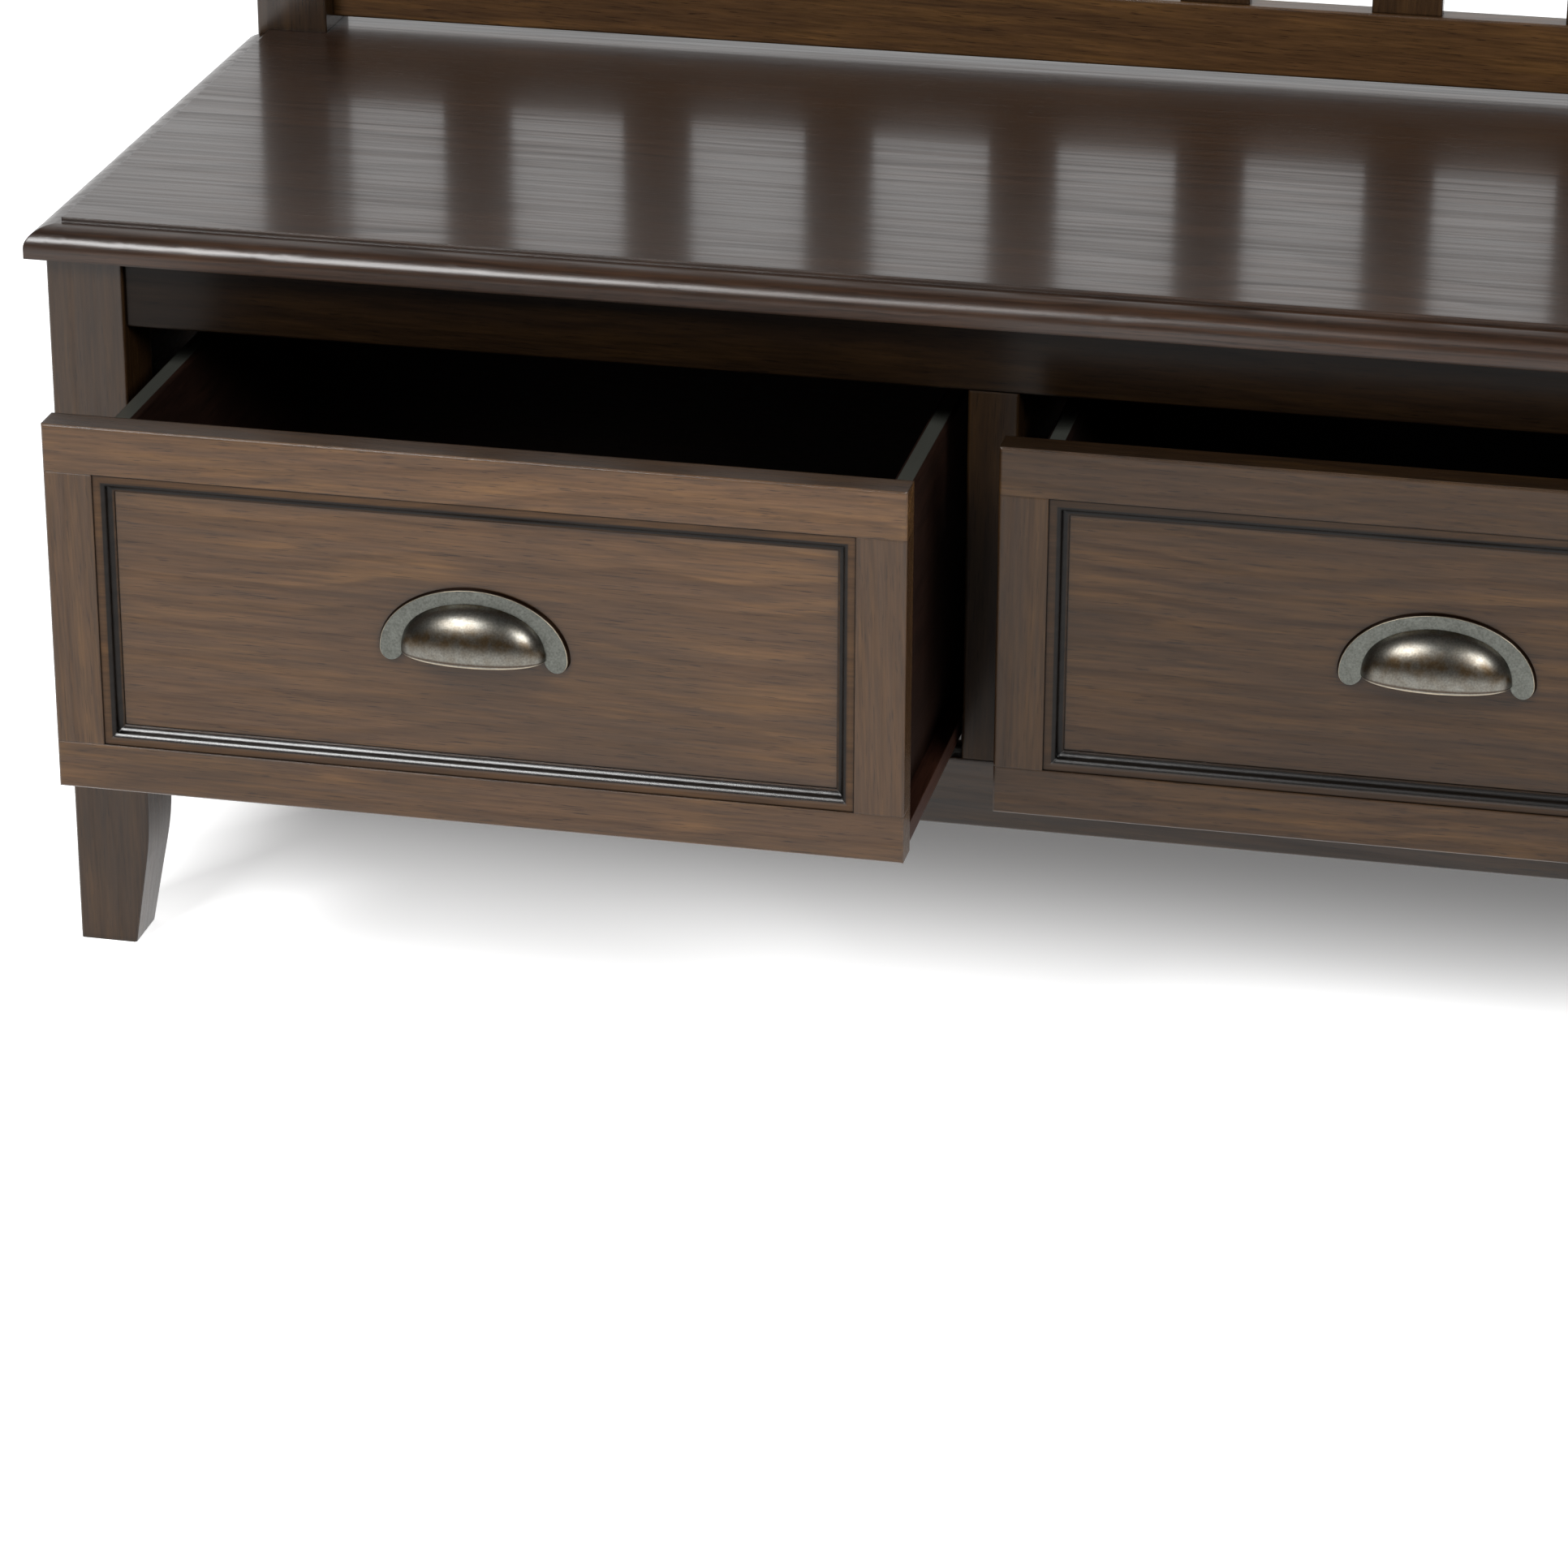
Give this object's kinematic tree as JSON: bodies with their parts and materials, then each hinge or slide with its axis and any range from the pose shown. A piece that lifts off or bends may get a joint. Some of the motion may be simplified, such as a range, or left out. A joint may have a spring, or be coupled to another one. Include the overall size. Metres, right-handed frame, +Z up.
{
  "type": "hall tree",
  "caption": "Dark stained wooden hall tree: bench with inset drawers and cup pulls, slatted back between full-height posts, and a board of coat hooks under a moulded cap.",
  "frame": {"origin": "on the floor, at the middle of the box round the whole object with its drawers as pictured", "axes": "+X to the right seen from the front, +Y to the back, +Z up"},
  "size_m": [1.134, 0.6305, 1.78],
  "materials": {
    "seat_wood": "dark brown stain under glossy lacquer",
    "upright_wood": "dark brown stain, satin lacquer, upright grain",
    "rail_wood": "dark brown stain, satin lacquer, grain along the rail",
    "panel_wood": "warm brown stain, satin lacquer",
    "case_wood": "dark brown stain, satin",
    "box_wood": "dark brown stain, dull",
    "runner_wood": "reddish hardwood, plain",
    "antique_pewter": "antique pewter with worn edges",
    "screw_steel": "dull steel",
    "nylon": "off-white nylon"
  },
  "bodies": {
    "carcass": {"back_lower_rail": "rail_wood", "back_panel": "case_wood", "back_slat_1": "upright_wood", "back_slat_2": "upright_wood", "back_slat_3": "upright_wood", "back_slat_4": "upright_wood", "back_slat_5": "upright_wood", "back_slat_6": "upright_wood", "back_slat_7": "upright_wood", "back_slat_8": "upright_wood", "bottom_front_rail": "rail_wood", "centre_partition": "case_wood", "centre_stile": "upright_wood", "coat_hook_1": "antique_pewter", "coat_hook_2": "antique_pewter", "coat_hook_3": "antique_pewter", "coat_hook_4": "antique_pewter", "drawer_stops": "runner_wood", "front_apron": "rail_wood", "front_leg_left": "upright_wood", "front_leg_right": "upright_wood", "hook_board": "rail_wood", "hook_screws": "screw_steel", "left_drawer_runners": "runner_wood", "nylon_glides": "nylon", "rear_bottom_rail": "rail_wood", "rear_post_left": "upright_wood", "rear_post_right": "upright_wood", "rear_top_rail": "rail_wood", "right_drawer_runners": "runner_wood", "seat_cleats": "runner_wood", "seat_top": "seat_wood", "side_panel_left": "case_wood", "side_panel_right": "case_wood", "top_cap": "seat_wood"},
    "left_drawer": {"left_drawer_back": "box_wood", "left_drawer_bead": "rail_wood", "left_drawer_bottom_rail": "rail_wood", "left_drawer_floor": "box_wood", "left_drawer_left_side": "box_wood", "left_drawer_panel": "panel_wood", "left_drawer_pull": "antique_pewter", "left_drawer_pull_screws": "screw_steel", "left_drawer_right_side": "box_wood", "left_drawer_stiles": "upright_wood", "left_drawer_strips": "runner_wood", "left_drawer_top_rail": "rail_wood"},
    "right_drawer": {"right_drawer_back": "box_wood", "right_drawer_bead": "rail_wood", "right_drawer_bottom_rail": "rail_wood", "right_drawer_floor": "box_wood", "right_drawer_left_side": "box_wood", "right_drawer_panel": "panel_wood", "right_drawer_pull": "antique_pewter", "right_drawer_pull_screws": "screw_steel", "right_drawer_right_side": "box_wood", "right_drawer_stiles": "upright_wood", "right_drawer_strips": "runner_wood", "right_drawer_top_rail": "rail_wood"}
  },
  "joints": [
    {"name": "left_drawer_slide", "type": "slide", "parent": "carcass", "child": "left_drawer", "axis": [0, -1, 0], "range_m": [-0.1595, 0.1205]},
    {"name": "right_drawer_slide", "type": "slide", "parent": "carcass", "child": "right_drawer", "axis": [0, -1, 0], "range_m": [-0.0785, 0.2015]}
  ]
}
